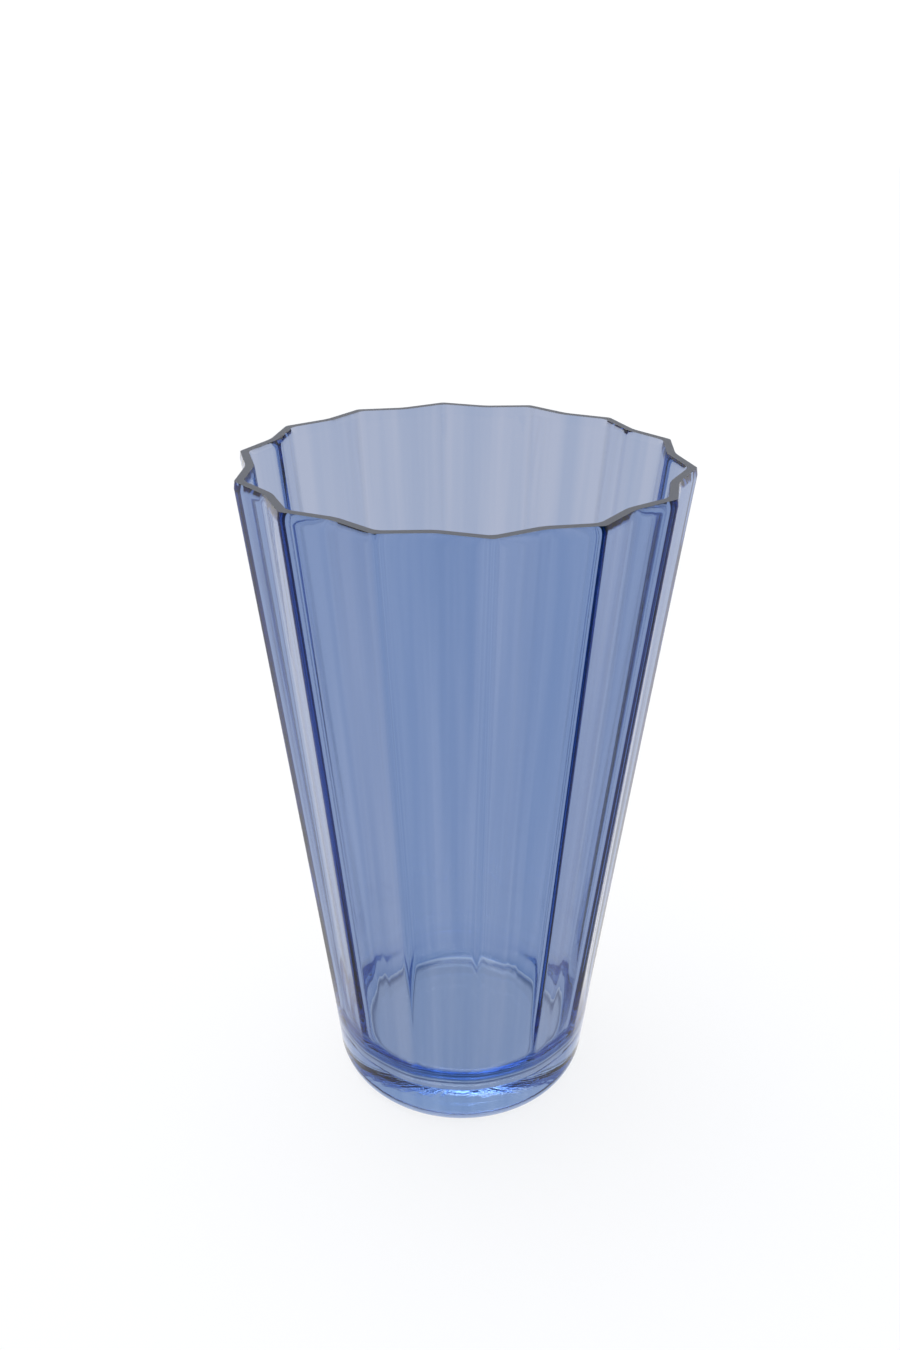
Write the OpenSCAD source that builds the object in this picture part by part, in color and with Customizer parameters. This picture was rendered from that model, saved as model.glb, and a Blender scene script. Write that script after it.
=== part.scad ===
// Tapering fluted vase of blue glass, with a heavy round base and a ground rim.
// Millimetres, +Z up. The origin is the centre of the foot, on the table.
// A ridge stands on the -Y axis, and angles are counted from there towards +X.

/* [Body] */
// Height from the table to the top face of the rim
height = 300; // [260:5:340]
// Outer radius over the ridges at the top face
rim_r = 92; // [88:1:98]
// Outer radius over the ridges where their straight line meets the table
foot_r = 59.4; // [57:0.2:64]

/* [Flutes] */
// Number of flutes round the wall
flutes = 14; // [12:1:16]
// Depth of a flute at the top face, from ridge to valley
flute_depth = 5.7; // [4:0.1:6.5]
// Fillet along each outer ridge at the top face
ridge_round = 2.7; // [1:0.1:4]
// Fillet along each outer valley at the top face
valley_round = 15; // [8:1:20]
// Height at which the flutes begin to die out towards the foot
fade_high = 66; // [56:2:90]
// Height below which the glass is round
fade_low = 22; // [21:1:30]
// Share of its depth at the rim that a flute still has at fade_high
depth_low_down = 0.6; // [0.4:0.05:1]

/* [Heel] */
// Radius of the flat that stands on the table
contact_r = 53.5; // [50:0.5:55]
// Height of the rounding above that flat
heel_h = 12; // [8:1:12]

/* [Inside] */
// Thickness of the wall at the top face, square to the glass
wall = 4.2; // [3.5:0.1:5]
// Thickness of the glass under the floor
floor_z = 12.5; // [12.5:0.5:20]
// Inner radius over the ridges where their straight line meets the floor
floor_r = 54; // [50:0.5:55]
// How far the floor's rounded edge reaches in from the wall
corner_reach = 19; // [10:1:30]
// How high the floor's rounded edge rises up the wall
corner_rise = 26; // [12:1:34]
// Fillet along each inner ridge at the top face
inner_ridge_round = 5.8; // [2:0.2:8]
// Fillet along each inner valley at the top face
inner_valley_round = 15; // [8:1:20]

/* [Rim] */
// Height of the band under the ground top face
rim_h = 4; // [3:0.5:6]
// How far the outer bevel runs in from the edge
outer_run = 0.7; // [0.3:0.1:1]
// How far the outer bevel reaches down
outer_drop = 2.7; // [0.5:0.1:2.9]
// How far the inner bevel runs out from the edge
inner_run = 0.3; // [0.2:0.1:1]
// How far the inner bevel reaches down
inner_drop = 0.6; // [0.4:0.1:2]

/* [Hidden] */
glass = [0.44, 0.56, 0.78, 0.5];

// Angle from a ridge to the valley beside it
half_step = 180 / flutes;
// Straight pieces in each fillet, and points along each facet between two fillets
fillet_steps = 3;
facet_points = 2;
// Straight pieces in each quarter of a rounded edge, over the fade and over the wall above it
edge_steps = 8;
fade_steps = 6;
wall_steps = 3;
// Least height from the rounded edge of the floor to the ring above it
clear_rise = 2;

rim_z = height - rim_h;
valley_r = rim_r - flute_depth;
// The wall turns by twice this angle at a ridge
ridge_turn = atan2(rim_r - valley_r * cos(half_step), valley_r * sin(half_step));
// The wall turns the other way at a valley, so this one is negative
valley_turn = half_step - ridge_turn;
// Corners of the inner section, set in square to the glass
inner_ridge_r = rim_r - wall / cos(ridge_turn);
inner_valley_r = valley_r - wall / cos(valley_turn);

// Heights of the rings over the fade, and from there up to the rim band
fade_levels = [for (i = [0:fade_steps]) mix(fade_low, fade_high, i / fade_steps)];
wall_levels = [for (i = [1:wall_steps]) mix(fade_high, rim_z, i / wall_steps)];

// Point at radius r and angle a
function polar(r, a) = [r * sin(a), -r * cos(a)];

// Value that is the share t of the way from a to b
function mix(a, b, t) = a + (b - a) * t;

// The share, from 0 to 1, that z is of the way from low to high
function way(z, low, high) = min(1, max(0, (z - low) / (high - low)));

// Outer radius over the ridges at height z
function ridge_r(z) = mix(foot_r, rim_r, z / height);

// Inner radius over the ridges at height z, on their straight line
function cavity_r(z) = mix(floor_r, inner_ridge_r, (z - floor_z) / (height - floor_z));

// How far the flutes have died out at height z, from 0 at the rim to 1 near the foot
function roundness(z) =
    let (t = way(z, fade_low, fade_high))
    1 - mix(depth_low_down, 1, way(z, fade_high, rim_z)) * t * t * (3 - 2 * t);

// Fillet at angle a on a corner at radius r; a valley has a negative fillet and turn
function fillet(a, r, round, turn) =
    [for (i = [0:fillet_steps])
        polar(r - round / cos(turn), a)
        + polar(round, a + turn * (2 * i / fillet_steps - 1))];

// Fluted outline, counter-clockwise from the ridge on the -Y axis
function fluted(ridge, valley, ridge_fillet, valley_fillet) =
    let (count = 2 * flutes, corners = [for (k = [0:count - 1]) k % 2 == 0
        ? fillet(k * half_step, ridge, ridge_fillet, ridge_turn)
        : fillet(k * half_step, valley, -valley_fillet, valley_turn)])
    [for (k = [0:count - 1])
        let (start = corners[k][fillet_steps], end = corners[(k + 1) % count][0])
        each concat(corners[k],
            [for (i = [1:facet_points]) mix(start, end, i / (facet_points + 1))])];

outer_outline = fluted(rim_r, valley_r, ridge_round, valley_round);
inner_outline = fluted(inner_ridge_r, inner_valley_r, inner_ridge_round, inner_valley_round);

// Points of an outline scaled about the axis and laid at height z. They are drawn towards a
// circle as the flutes die out, while the ridges stay on their straight line
function ring(outline, scale, z) =
    let (radii = [for (p = outline) norm(p)],
        mean = radii * [for (r = radii) 1 / len(radii)],
        drawn = [for (r = radii) mix(r, mean, roundness(z))],
        fit = scale * max(radii) / max(drawn))
    [for (i = [0:len(outline) - 1])
        let (p = outline[i] * fit * drawn[i] / radii[i])
        [p.x, p.y, z]];

// Ring of the outer surface at height z, kept inside radius limit
function outer_ring(z, limit = 2 * rim_r) =
    [for (p = ring(outer_outline, ridge_r(z) / rim_r, z))
        let (share = min(1, limit / norm([p.x, p.y])))
        [p.x * share, p.y * share, z]];

// Ring of the inner surface at height z, drawn in from the wall by a reach
function inner_ring(z, reach = 0) =
    ring(inner_outline, (cavity_r(z) - reach) / inner_ridge_r, z);

// Two triangles between neighbouring points of ring number low and of ring number high
function skin(low, high, count) =
    [for (j = [0:count - 1])
        let (a = low * count, b = high * count, k = (j + 1) % count)
        each [[a + j, b + j, b + k], [a + j, b + k, a + k]]];

// Solid through rings that are listed from the lowest to the highest. Each end is closed by
// triangles round its middle
module stack(rings) {
    count = len(rings[0]);
    last = len(rings) - 1;
    middles = [for (r = [rings[0], rings[last]]) [0, 0, r[0].z]];
    low_middle = count * (last + 1);
    low_end = [for (j = [0:count - 1]) [low_middle, j, (j + 1) % count]];
    high_end = [for (j = [0:count - 1])
        [low_middle + 1, last * count + (j + 1) % count, last * count + j]];
    sides = [for (i = [0:last - 1]) each skin(i, i + 1, count)];
    polyhedron(
        points = concat([for (r = rings) each r], middles),
        faces = concat(low_end, high_end, sides));
}

// Hollow solid through rings that run up the outside and down the inside, the last one
// joined to the first
module shell(rings) {
    polyhedron(
        points = [for (r = rings) each r],
        faces = [for (i = [0:len(rings) - 1])
            each skin(i, (i + 1) % len(rings), len(rings[0]))]);
}

// Thick round disc of glass under the floor, with the rounded heel and the flat foot
module base() {
    reach = ridge_r(heel_h) - contact_r;
    heel = [for (i = [0:edge_steps])
        let (t = 90 * i / edge_steps)
        outer_ring(heel_h * (1 - cos(t)), contact_r + reach * sin(t))];
    color(glass)
        stack(concat(heel, [outer_ring(floor_z)]));
}

// Wall, round at its foot and fluted above, thickening into the rounded edge of the floor
module wall() {
    outside = [for (z = concat([floor_z], fade_levels, wall_levels)) outer_ring(z)];
    straight = [for (z = concat(fade_levels, wall_levels))
        if (z > floor_z + corner_rise + clear_rise) z];
    inside = [for (i = [len(straight) - 1:-1:0]) inner_ring(straight[i])];
    corner = [for (i = [0:edge_steps])
        let (t = 90 * i / edge_steps)
        inner_ring(floor_z + corner_rise * (1 - sin(t)), corner_reach * (1 - cos(t)))];
    color(glass)
        shell(concat(outside, inside, corner));
}

// Band that ends the wall: a flat ground top face between two bevels
module rim() {
    top_scale = (rim_r - outer_run) / rim_r;
    color(glass)
        shell([
            outer_ring(rim_z),
            outer_ring(height - outer_drop),
            ring(outer_outline, top_scale, height),
            inner_ring(height, -inner_run),
            inner_ring(height - inner_drop),
            inner_ring(rim_z)
        ]);
}

base();
wall();
rim();
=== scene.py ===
"""Fluted vase of clear glass under a blue coat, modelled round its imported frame, in metres, +Z up."""

import math

import bmesh
import bpy
from mathutils import Matrix, Vector


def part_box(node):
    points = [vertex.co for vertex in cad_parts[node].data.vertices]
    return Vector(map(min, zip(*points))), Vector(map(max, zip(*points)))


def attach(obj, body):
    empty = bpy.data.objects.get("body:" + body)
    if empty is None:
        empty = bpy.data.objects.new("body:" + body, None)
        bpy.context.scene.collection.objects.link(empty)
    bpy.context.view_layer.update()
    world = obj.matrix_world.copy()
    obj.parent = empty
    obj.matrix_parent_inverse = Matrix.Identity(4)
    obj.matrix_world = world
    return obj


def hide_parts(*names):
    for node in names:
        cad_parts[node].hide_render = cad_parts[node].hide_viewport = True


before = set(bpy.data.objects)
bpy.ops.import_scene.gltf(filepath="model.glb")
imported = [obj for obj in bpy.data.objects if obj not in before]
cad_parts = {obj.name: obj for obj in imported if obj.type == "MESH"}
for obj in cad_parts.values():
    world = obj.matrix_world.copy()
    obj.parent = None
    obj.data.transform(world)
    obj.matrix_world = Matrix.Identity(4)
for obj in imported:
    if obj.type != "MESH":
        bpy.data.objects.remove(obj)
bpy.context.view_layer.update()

MM = 0.001

# ---------------------------------------------------------------- sizes

base_low, base_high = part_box("base")
rim_low, rim_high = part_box("rim")

FLUTES = 14
HALF_STEP = math.pi / FLUTES
HEIGHT = rim_high.z
RIM_Z = rim_low.z
FLOOR_Z = base_high.z

# Corners of the fluted outline at the top face, before their fillets
RIDGE_R = 92 * MM
FLUTE_DEPTH = 5.7 * MM
VALLEY_SHARE = 1 - FLUTE_DEPTH / RIDGE_R
# Radius over the ridges where their straight line meets the table
FOOT_RIDGE_R = 59.4 * MM
WALL = 4.2 * MM

# Rounded heel round the foot, and the flutes dying out above it
CONTACT_R = 53.5 * MM
HEEL_H = 12 * MM
HEEL_STEPS = 10
FADE_LOW = 22 * MM
FADE_HIGH = 66 * MM
FADE_STEPS = 12
# Share of the flutes' depth at the rim that they still have at FADE_HIGH
DEPTH_LOW_DOWN = 0.6

# Rounded edge between the wall and the floor inside
CORNER_REACH = 19 * MM
CORNER_RISE = 26 * MM
CORNER_STEPS = 14
FLOOR_RIDGE_R = 54 * MM

# Run of each fillet along the facets beside it, and how much it takes off a ridge
RIDGE_RUN = 1.1 * MM
RIDGE_CUT = 0.2 * MM
VALLEY_RUN = 2.6 * MM
INNER_RIDGE_RUN = 2.4 * MM
INNER_VALLEY_RUN = 2.6 * MM
FILLET_STEPS = 8
FACET_CUTS = 6

# Bevels ground on the rim: how far each runs in, and how far it reaches down
OUTER_RUN = 0.7 * MM
OUTER_DROP = 2.7 * MM
INNER_RUN = 0.3 * MM
INNER_DROP = 0.6 * MM

# How far a facet is turned out of square to the radius at its ridge
FACET_LEAN = math.radians(22.3)

# Heights of the rings above the fade, and of the rings inside from there down to the corner
WALL_LEVELS = [z * MM for z in (80, 110, 150, 190, 225, 260)]
LOW_LEVELS_INSIDE = [z * MM for z in (66, 58, 51, 44)]

# Points within this height of each other are one ring, and an edge flatter than LEVEL lies in it
SAME_RING = 0.06 * MM
LEVEL = 0.05 * MM
# An edge in a ring that is longer than this crosses a facet and not a fillet
FILLET_EDGE = 3 * MM
# Depth under the outer outline that still counts as the outside
OUTSIDE_DEPTH = 2.2 * MM
# Edges that turn more than this many degrees stay crisp
CRISP_ANGLE = 25


def ridge_r(z):
    """Outer radius over the ridges at height z."""
    return FOOT_RIDGE_R + (RIDGE_R - FOOT_RIDGE_R) * z / HEIGHT


def outline_r(point):
    """Radius of the outer fluted outline beside a point, before its fillets."""
    turn = abs(corner_number(point)) % 2 * HALF_STEP
    from_ridge = min(turn, 2 * HALF_STEP - turn)
    outer = ridge_r(point.z)
    share = math.sin(HALF_STEP - from_ridge) + math.sin(from_ridge) / VALLEY_SHARE
    return outer * math.sin(HALF_STEP) / share


def roundness(z):
    """How far the flutes have died out at height z, from 0 at the rim to 1 near the foot."""
    up = min(max((z - FADE_HIGH) / (RIM_Z - FADE_HIGH), 0), 1)
    t = min(max((z - FADE_LOW) / (FADE_HIGH - FADE_LOW), 0), 1)
    return 1 - (DEPTH_LOW_DOWN + (1 - DEPTH_LOW_DOWN) * up) * t * t * (3 - 2 * t)


# ---------------------------------------------------------------- modelling helpers


def edit():
    """The mesh being edited, with nothing selected."""
    bpy.ops.mesh.select_all(action="DESELECT")
    mesh = bmesh.from_edit_mesh(bpy.context.object.data)
    mesh.normal_update()
    return mesh


def pick(kind, wanted):
    """Selects the vertices, edges or faces that wanted() is true of."""
    mode = {"verts": "VERT", "edges": "EDGE", "faces": "FACE"}[kind]
    bpy.ops.mesh.select_mode(type=mode)
    mesh = edit()
    found = [item for item in getattr(mesh, kind) if wanted(item)]
    for item in found:
        item.select_set(True)
    mesh.select_flush_mode()
    bmesh.update_edit_mesh(bpy.context.object.data)


def grow_up(to_z, factor):
    """Extrudes the selected top face to height to_z and scales it about the axis."""
    mesh = bmesh.from_edit_mesh(bpy.context.object.data)
    from_z = next(v.co.z for v in mesh.verts if v.select)
    bpy.ops.mesh.extrude_region_move(TRANSFORM_OT_translate={"value": (0, 0, to_z - from_z)})
    bpy.ops.transform.resize(value=(factor, factor, 1), center_override=(0, 0, to_z))


def corner_number(point):
    """Which corner of the fluted outline a point lies on, counted in half steps."""
    return math.atan2(point.x, -point.y) / HALF_STEP


def on_corner(point, odd):
    """True if a point lies on a ridge, or with odd on a valley."""
    number = corner_number(point)
    return abs(number - round(number)) < 0.02 and round(number) % 2 == odd


def finish_mesh():
    """Merges doubles, turns the faces outwards and smooths what isn't a crisp edge."""
    bpy.ops.object.mode_set(mode="EDIT")
    bpy.ops.mesh.select_all(action="SELECT")
    bpy.ops.mesh.remove_doubles(threshold=0.002 * MM)
    bpy.ops.mesh.normals_make_consistent(inside=False)
    bpy.ops.object.mode_set(mode="OBJECT")
    bpy.ops.object.shade_smooth_by_angle(angle=math.radians(CRISP_ANGLE))


# ---------------------------------------------------------------- the vase


def vase():
    """The whole vase as one closed mesh, drawn up from the foot and pushed down inside."""
    bpy.ops.object.select_all(action="DESELECT")
    bpy.ops.mesh.primitive_circle_add(
        vertices=2 * FLUTES, radius=FOOT_RIDGE_R, fill_type="NGON", location=(0, 0, 0)
    )
    piece = bpy.context.object
    piece.name = "vase_glass"
    bpy.ops.object.mode_set(mode="EDIT")

    # The foot: every second corner is drawn in, to make the flutes
    pick("verts", lambda v: on_corner(v.co, 1))
    bpy.ops.transform.resize(value=(VALLEY_SHARE, VALLEY_SHARE, 1), center_override=(0, 0, 0))

    # The outside is drawn up from the foot to the rim
    bpy.ops.mesh.select_mode(type="FACE")
    bpy.ops.mesh.select_all(action="SELECT")
    heel = [HEEL_H * (1 - math.cos(math.pi / 2 * i / HEEL_STEPS)) for i in range(1, HEEL_STEPS + 1)]
    fade = [HEEL_H + (FADE_HIGH - HEEL_H) * i / FADE_STEPS for i in range(1, FADE_STEPS + 1)]
    levels = heel + fade + WALL_LEVELS + [RIM_Z]
    before = 0
    for z in levels + [HEIGHT - OUTER_DROP]:
        grow_up(z, ridge_r(z) / ridge_r(before))
        before = z
    grow_up(HEIGHT, (RIDGE_R - OUTER_RUN) / ridge_r(before))

    # The ground face is left round the edge, and the hollow is pushed down inside it
    ground_width = WALL - (OUTER_RUN + INNER_RUN) * math.cos(FACET_LEAN)
    bpy.ops.mesh.inset(thickness=ground_width, use_even_offset=True)
    mesh = bmesh.from_edit_mesh(piece.data)
    land = max(v.co.xy.length for v in mesh.verts if v.select)
    inner = land - INNER_RUN

    def cavity_r(z):
        return FLOOR_RIDGE_R + (inner - FLOOR_RIDGE_R) * (z - FLOOR_Z) / (HEIGHT - FLOOR_Z)

    heights = [HEIGHT - INNER_DROP, RIM_Z] + WALL_LEVELS[::-1] + LOW_LEVELS_INSIDE
    hollow = [(z, cavity_r(z)) for z in heights]
    for i in range(CORNER_STEPS + 1):
        turn = math.pi / 2 * i / CORNER_STEPS
        z = FLOOR_Z + CORNER_RISE * (1 - math.sin(turn))
        hollow.append((z, cavity_r(z) - CORNER_REACH * (1 - math.cos(turn))))
    before = land
    for z, r in hollow:
        grow_up(z, r / before)
        before = r

    # Fillets along the ridges and valleys, outside and inside
    def upright(e, odd, outside):
        a, b = (v.co for v in e.verts)
        if abs(a.z - b.z) < LEVEL or not (on_corner(a, odd) and on_corner(b, odd)):
            return False
        middle = (a + b) / 2
        share = VALLEY_SHARE if odd else 1
        return (middle.xy.length > (ridge_r(middle.z) - OUTSIDE_DEPTH) * share) == outside

    for odd, outside, run in (
        (0, True, RIDGE_RUN),
        (1, True, VALLEY_RUN),
        (0, False, INNER_RIDGE_RUN),
        (1, False, INNER_VALLEY_RUN),
    ):
        pick("edges", lambda e, o=odd, s=outside: upright(e, o, s))
        bpy.ops.mesh.bevel(offset=run, segments=FILLET_STEPS, profile=0.5, affect="EDGES")

    # The facets get more edges, so that the heel can be rounded
    def across_facet(e):
        a, b = (v.co for v in e.verts)
        return (
            abs(a.z - b.z) < LEVEL
            and (a - b).length > FILLET_EDGE
            and abs(a.xy.length - b.xy.length) < FLUTE_DEPTH
        )

    pick("edges", across_facet)
    bpy.ops.mesh.subdivide(number_cuts=FACET_CUTS)

    # Each ring low down is drawn towards a circle while its ridges stay where they are, and
    # the heel's rings are drawn in towards the foot
    def round_ring(at, outside, limit=None):
        def wanted(v):
            if abs(v.co.z - at) > SAME_RING:
                return False
            return (v.co.xy.length > outline_r(v.co) - WALL / 2) == outside or at < FLOOR_Z

        def widest():
            mesh = bmesh.from_edit_mesh(piece.data)
            return max(v.co.xy.length for v in mesh.verts if v.select)

        pick("verts", wanted)
        before = widest()
        bpy.ops.transform.tosphere(value=roundness(at))
        factor = (limit or before) / widest()
        bpy.ops.transform.resize(value=(factor, factor, 1), center_override=(0, 0, at))

    heel_r = ridge_r(HEEL_H) - RIDGE_CUT
    for z in [0] + heel:
        sweep = math.sin(math.acos(1 - z / HEEL_H))
        round_ring(z, True, CONTACT_R + (heel_r - CONTACT_R) * sweep)
    for z in levels[len(heel):]:
        round_ring(z, True)
    for z, r in hollow:
        if roundness(z) > 0:
            round_ring(z, False)
    bpy.ops.object.mode_set(mode="OBJECT")

    bpy.ops.object.select_all(action="DESELECT")
    piece.select_set(True)
    bpy.context.view_layer.objects.active = piece
    finish_mesh()
    return piece


# ---------------------------------------------------------------- materials


GLASS_IOR = 1.52
# Mean radius of the wall, and how many times longer than wide a streak is
MEAN_R_MM = 75
STREAK_STRETCH = 30
# Width of the coat's streaks, and width and depth of the ripples that the mould leaves
STREAK_MM = 9
RIPPLE_MM = 10
RIPPLE_DEPTH = 0.06 * MM
# Sockets of a colour Mix node: its two colours and its result
MIX_A, MIX_B, MIX_OUT = 6, 7, 2


def linear(hex_colour):
    """sRGB hex to the linear colour that a shader takes."""
    parts = [int(hex_colour[i:i + 2], 16) / 255 for i in (1, 3, 5)]
    return tuple(c / 12.92 if c <= 0.04045 else ((c + 0.055) / 1.055) ** 2.4 for c in parts) + (1,)


def node(tree, kind, links=(), **settings):
    """Adds a node with its settings. Links are (input, node, output)."""
    made = tree.nodes.new(kind)
    for name, value in settings.items():
        if name.startswith("in_"):
            made.inputs[name[3:].replace("_", " ")].default_value = value
        else:
            setattr(made, name, value)
    for own, other, output in links:
        tree.links.new(other.outputs[output], made.inputs[own])
    return made


def along_the_draw(tree):
    """Place in mm round the wall and along it, squeezed lengthways so that patterns run up it."""
    place = node(tree, "ShaderNodeTexCoord")
    axes = node(tree, "ShaderNodeSeparateXYZ", links=[("Vector", place, "Object")])
    across = node(tree, "ShaderNodeCombineXYZ", links=[("X", axes, "X"), ("Y", axes, "Y")])
    aim = node(tree, "ShaderNodeVectorMath", operation="NORMALIZE", links=[(0, across, "Vector")])
    turned = node(
        tree, "ShaderNodeVectorMath", operation="SCALE", in_Scale=MEAN_R_MM,
        links=[("Vector", aim, "Vector")],
    )
    raised = node(tree, "ShaderNodeMath", operation="DIVIDE", links=[(0, axes, "Z")])
    raised.inputs[1].default_value = MM * STREAK_STRETCH
    tall = node(tree, "ShaderNodeCombineXYZ", links=[("Z", raised, "Value")])
    return node(
        tree, "ShaderNodeVectorMath", operation="ADD", links=[(0, turned, "Vector"), (1, tall, "Vector")]
    )


def glass(name, coat=None):
    """Pressed soda-lime glass: clear, bright, and faintly rippled up the wall by the mould.

    coat is a blue sprayed on its outer skin, as its colour in a thin and in a thick streak. It
    gives pale blue where light crosses it once, and deep blue where light is mirrored inside it.
    """
    material = bpy.data.materials.new(name)
    material.use_nodes = True
    tree = material.node_tree
    tree.nodes.clear()
    white = linear("#FFFFFF")
    draw = along_the_draw(tree)
    mirror = node(tree, "ShaderNodeBsdfGlossy", in_Color=white, in_Roughness=0.0)
    through = node(
        tree, "ShaderNodeBsdfRefraction", in_Color=white, in_Roughness=0.0, in_IOR=GLASS_IOR
    )
    fresnel = node(tree, "ShaderNodeFresnel", in_IOR=GLASS_IOR)
    if coat:
        side = node(tree, "ShaderNodeNewGeometry")
        streaks = node(
            tree, "ShaderNodeTexNoise", in_Scale=1 / STREAK_MM, in_Detail=3.0,
            links=[("Vector", draw, "Vector")],
        )
        strength = node(
            tree, "ShaderNodeMapRange", in_From_Min=0.35, in_From_Max=0.65,
            links=[("Value", streaks, "Fac")],
        )
        tint = node(tree, "ShaderNodeMix", data_type="RGBA", links=[("Factor", strength, "Result")])
        tint.inputs[MIX_A].default_value = linear(coat[0])
        tint.inputs[MIX_B].default_value = linear(coat[1])
        # Light that is mirrored from inside the glass crosses the coat twice
        twice = node(tree, "ShaderNodeMix", data_type="RGBA", blend_type="MULTIPLY", in_Factor=1.0)
        sheen = node(tree, "ShaderNodeMix", data_type="RGBA", links=[("Factor", side, "Backfacing")])
        sheen.inputs[MIX_A].default_value = white
        tree.links.new(tint.outputs[MIX_OUT], twice.inputs[MIX_A])
        tree.links.new(tint.outputs[MIX_OUT], twice.inputs[MIX_B])
        tree.links.new(twice.outputs[MIX_OUT], sheen.inputs[MIX_B])
        tree.links.new(sheen.outputs[MIX_OUT], mirror.inputs["Color"])
        tree.links.new(tint.outputs[MIX_OUT], through.inputs["Color"])
    ripple = node(
        tree, "ShaderNodeTexNoise", in_Scale=1 / RIPPLE_MM, in_Detail=2.0,
        links=[("Vector", draw, "Vector")],
    )
    bump = node(
        tree, "ShaderNodeBump", in_Strength=1.0, in_Distance=RIPPLE_DEPTH,
        links=[("Height", ripple, "Fac")],
    )
    for shader in (mirror, through, fresnel):
        tree.links.new(bump.outputs["Normal"], shader.inputs["Normal"])
    skin = node(tree, "ShaderNodeMixShader", links=[("Fac", fresnel, "Fac")])
    tree.links.new(through.outputs[0], skin.inputs[1])
    tree.links.new(mirror.outputs[0], skin.inputs[2])
    node(tree, "ShaderNodeOutputMaterial", links=[("Surface", skin, "Shader")])
    return material


def ground_rim_painted_reflection():
    """Rim ground flat on a wheel: matt, with only a little of the glass showing through; its dark grey
    is a painted reflection of the dark surroundings.
    """
    material = bpy.data.materials.new("ground_rim_painted_reflection")
    material.use_nodes = True
    tree = material.node_tree
    tree.nodes.clear()
    # The dark grey base colour is a painted reflection of the dark surroundings; the roughness is the
    # rim's real ground finish
    painted_reflection_grey = node(
        tree, "ShaderNodeBsdfPrincipled", in_Base_Color=linear("#565961"), in_Roughness=0.45,
        in_IOR=GLASS_IOR, in_Transmission_Weight=0.3,
    )
    node(tree, "ShaderNodeOutputMaterial", links=[("Surface", painted_reflection_grey, "BSDF")])
    return material


# How far the pool of blue light painted on the sheet reaches round the vase's middle, standing in for
# the light that comes down through the vase
PAINTED_POOL_R = 66 * MM
# Glow of the sheet as the camera sees it, its share of that view, and its glow through the glass
SHEET_GLOW = 1.04
SHEET_SHARE = 0.8
POOL_GLOW = 0.75


def light_table():
    """Opal sheet lit from below: plain white, with a painted soft blue pool of light under the foot and
    a painted shadow ring round its edge, both seen only through the glass.
    """
    material = bpy.data.materials.new("opal_light_table")
    material.use_nodes = True
    tree = material.node_tree
    tree.nodes.clear()
    matt = node(tree, "ShaderNodeBsdfDiffuse", in_Color=linear("#EDEDEE"))
    lit = node(tree, "ShaderNodeEmission", in_Color=linear("#FFFFFF"), in_Strength=SHEET_GLOW)
    place = node(tree, "ShaderNodeTexCoord")
    reach = node(tree, "ShaderNodeVectorMath", operation="LENGTH", links=[(0, place, "Object")])
    spread = node(
        tree, "ShaderNodeMapRange", in_From_Min=0.0, in_From_Max=PAINTED_POOL_R,
        links=[("Value", reach, "Value")],
    )
    painted_pool_and_shadow = node(tree, "ShaderNodeValToRGB", links=[("Fac", spread, "Result")])
    # Painted by distance from the middle: a blue pool of painted light under the foot, a dark ring of
    # painted contact shadow at its edge, then pale blue fading to the plain sheet
    stops = (
        (CONTACT_R - 6 * MM, "#BDC5DA"),
        (CONTACT_R - 1 * MM, "#7480A0"),
        (CONTACT_R + 2 * MM, "#C4CCDE"),
        (PAINTED_POOL_R, "#FFF7F9"),
    )
    painted_pool_and_shadow.color_ramp.interpolation = "EASE"
    painted_pool_and_shadow.color_ramp.elements.remove(painted_pool_and_shadow.color_ramp.elements[1])
    for i, (r, colour) in enumerate(stops):
        stop = painted_pool_and_shadow.color_ramp.elements.new(r / PAINTED_POOL_R) if i else painted_pool_and_shadow.color_ramp.elements[0]
        stop.position = r / PAINTED_POOL_R
        stop.color = linear(colour)
    through = node(tree, "ShaderNodeEmission", in_Strength=POOL_GLOW)
    tree.links.new(painted_pool_and_shadow.outputs["Color"], through.inputs["Color"])
    ray = node(tree, "ShaderNodeLightPath")
    seen = node(tree, "ShaderNodeMixShader", in_Fac=SHEET_SHARE)
    both = node(tree, "ShaderNodeMixShader", links=[("Fac", ray, "Is Camera Ray")])
    tree.links.new(matt.outputs[0], seen.inputs[1])
    tree.links.new(lit.outputs[0], seen.inputs[2])
    tree.links.new(through.outputs[0], both.inputs[1])
    tree.links.new(seen.outputs[0], both.inputs[2])
    node(tree, "ShaderNodeOutputMaterial", links=[("Surface", both, "Shader")])
    return material


# ---------------------------------------------------------------- build

# How far up and down a coated face may lean, and how far up the ground face of the rim leans
COAT_LEAN_UP = 0.3
COAT_LEAN_DOWN = -0.9
GROUND_LEAN = 0.9
RIM_DEPTH = 0.1 * MM
COATED, CLEAR, GROUND = range(3)

body = vase()
body.data.materials.clear()
body.data.materials.append(glass("blue_sprayed_coat", ("#C7D7EF", "#B8CCE9")))
body.data.materials.append(glass("clear_pressed_glass"))
body.data.materials.append(ground_rim_painted_reflection())
for face in body.data.polygons:
    c = face.center
    n = face.normal
    outward = n.x * c.x + n.y * c.y
    coated = outward > 0 and COAT_LEAN_DOWN < n.z < COAT_LEAN_UP
    face.material_index = COATED if coated else CLEAR
    if n.z > GROUND_LEAN and c.z > HEIGHT - RIM_DEPTH:
        face.material_index = GROUND
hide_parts("base", "wall", "rim")
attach(body, "root")

# ---------------------------------------------------------------- studio

# The floor lies a hair under the foot, so that the two faces don't flicker
FLOOR_SIZE = 12
FLOOR_GAP = 0.05 * MM
bpy.ops.mesh.primitive_plane_add(size=FLOOR_SIZE, location=(0, 0, -FLOOR_GAP))
floor = bpy.context.object
floor.name = "floor"
floor.data.materials.append(light_table())
floor.visible_glossy = False

scene = bpy.context.scene
world = bpy.data.worlds.new("white_studio")
scene.world = world
world.use_nodes = True
world.node_tree.nodes.clear()
tree = world.node_tree


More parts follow.
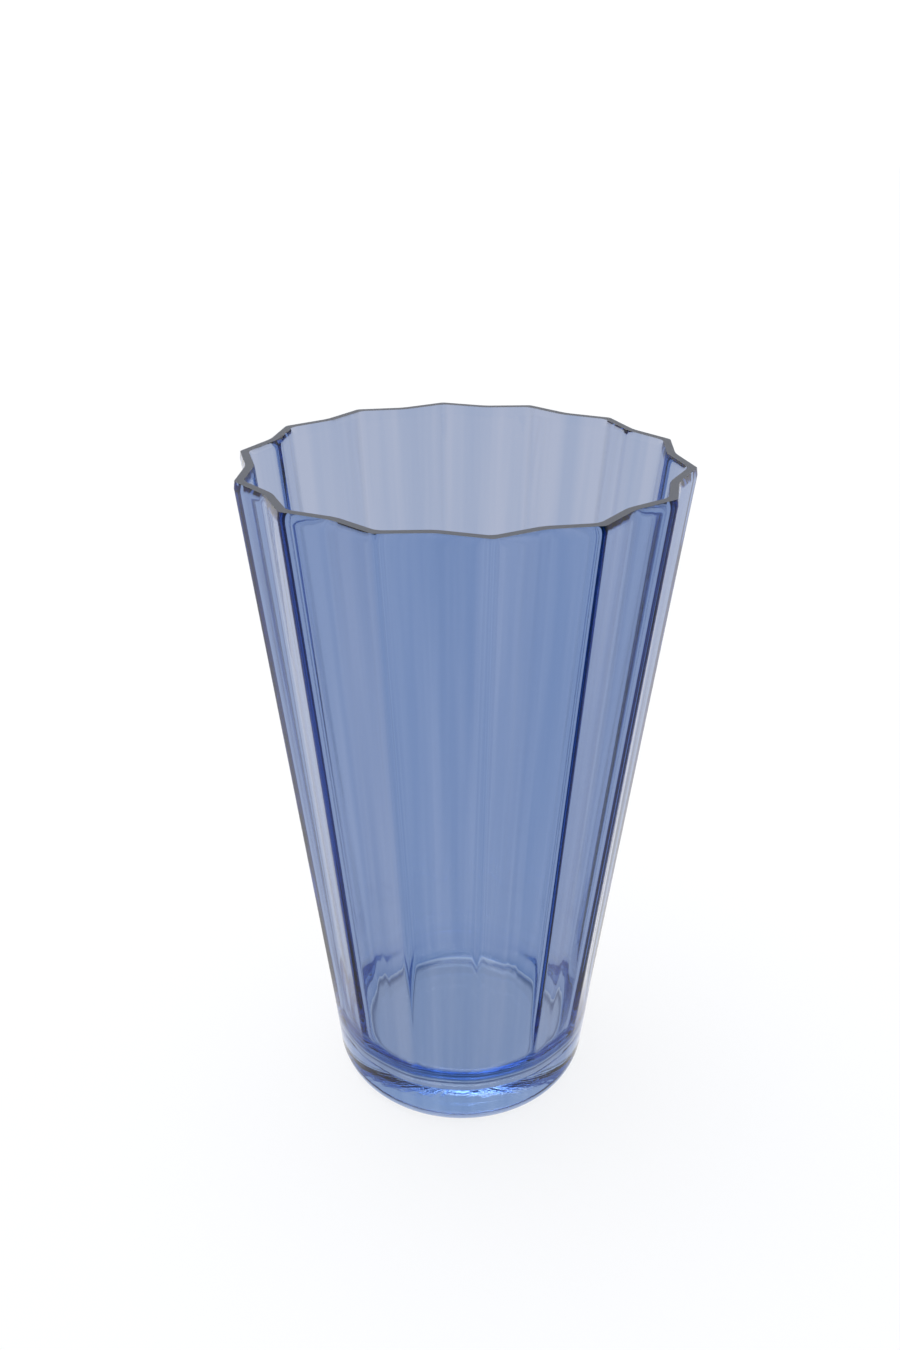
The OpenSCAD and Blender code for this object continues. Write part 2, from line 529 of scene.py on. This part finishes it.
def blend_colour(low, high, start, end, source, output):
    """Colour from low to high as source goes from start to end. Each is a colour or a node."""
    spread = node(
        tree, "ShaderNodeMapRange", interpolation_type="SMOOTHSTEP",
        in_From_Min=start, in_From_Max=end, links=[("Value", source, output)],
    )
    mixed = node(tree, "ShaderNodeMix", data_type="RGBA", links=[("Factor", spread, "Result")])
    for socket, colour in ((MIX_A, low), (MIX_B, high)):
        if isinstance(colour, tuple):
            mixed.inputs[socket].default_value = colour + (1,)
        else:
            tree.links.new(colour.outputs[MIX_OUT], mixed.inputs[socket])
    return mixed


# Light in linear strengths: a soft lamp overhead in a pale room that is bluer towards the front
LAMP_AIM = Vector((-0.12, 0.10, 1)).normalized()
LAMP = (4.2, 4.2, 4.25)
ROOM_FRONT = (0.24, 0.34, 0.52)
ROOM_BACK = (0.82, 0.82, 0.83)
# Below the horizon: deep blue in front, grey at the sides, white behind and straight down
LOW_FRONT = (0.03, 0.19, 0.46)
LOW_SIDES = (0.54, 0.54, 0.56)
LOW_BACK = (1, 1, 1.02)
STRAIGHT_DOWN = (0.9, 0.9, 0.92)
BACKDROP_GLOW = 1.1

place = node(tree, "ShaderNodeTexCoord")
axes = node(tree, "ShaderNodeSeparateXYZ", links=[("Vector", place, "Generated")])
lean = node(tree, "ShaderNodeVectorMath", operation="DOT_PRODUCT", links=[(0, place, "Generated")])
lean.inputs[1].default_value = LAMP_AIM
room = blend_colour(ROOM_FRONT, ROOM_BACK, -0.6, 0.7, axes, "Y")
lamp = blend_colour(room, LAMP, 0.88, 0.97, lean, "Value")
front = blend_colour(LOW_FRONT, LOW_SIDES, -0.85, -0.05, axes, "Y")
behind = blend_colour(front, LOW_BACK, 0.15, 0.65, axes, "Y")
below = blend_colour(STRAIGHT_DOWN, behind, -0.97, -0.85, axes, "Z")
above = blend_colour(below, lamp, -0.02, 0.02, axes, "Z")
soft = node(tree, "ShaderNodeBackground", in_Strength=1.0)
tree.links.new(above.outputs[MIX_OUT], soft.inputs["Color"])
seen = node(tree, "ShaderNodeBackground", in_Color=linear("#FFFFFF"), in_Strength=BACKDROP_GLOW)
ray = node(tree, "ShaderNodeLightPath")
both = node(tree, "ShaderNodeMixShader", links=[("Fac", ray, "Is Camera Ray")])
tree.links.new(soft.outputs[0], both.inputs[1])
tree.links.new(seen.outputs[0], both.inputs[2])
node(tree, "ShaderNodeOutputWorld", links=[("Surface", both, "Shader")])

scene.view_settings.view_transform = "Standard"
# Light crosses and is mirrored in the thick glass many times before it leaves
scene.cycles.max_bounces = 32
scene.cycles.transmission_bounces = 32
scene.cycles.glossy_bounces = 16

# ---------------------------------------------------------------- camera

VIEW_TURN = math.radians(-5.57)
VIEW_DOWN = math.radians(26.77)
LENS_MM = 31.98
SENSOR_MM = 36
CAMERA_PLACE = Vector((-5.5 * MM, -462.9 * MM, 437.7 * MM))
camera_data = bpy.data.cameras.new("camera")
camera_data.lens = LENS_MM
camera_data.sensor_width = SENSOR_MM
camera = bpy.data.objects.new("camera", camera_data)
scene.collection.objects.link(camera)
camera.location = Matrix.Rotation(VIEW_TURN, 3, "Z") @ CAMERA_PLACE
camera.rotation_euler = (math.pi / 2 - VIEW_DOWN, 0, VIEW_TURN)
scene.camera = camera
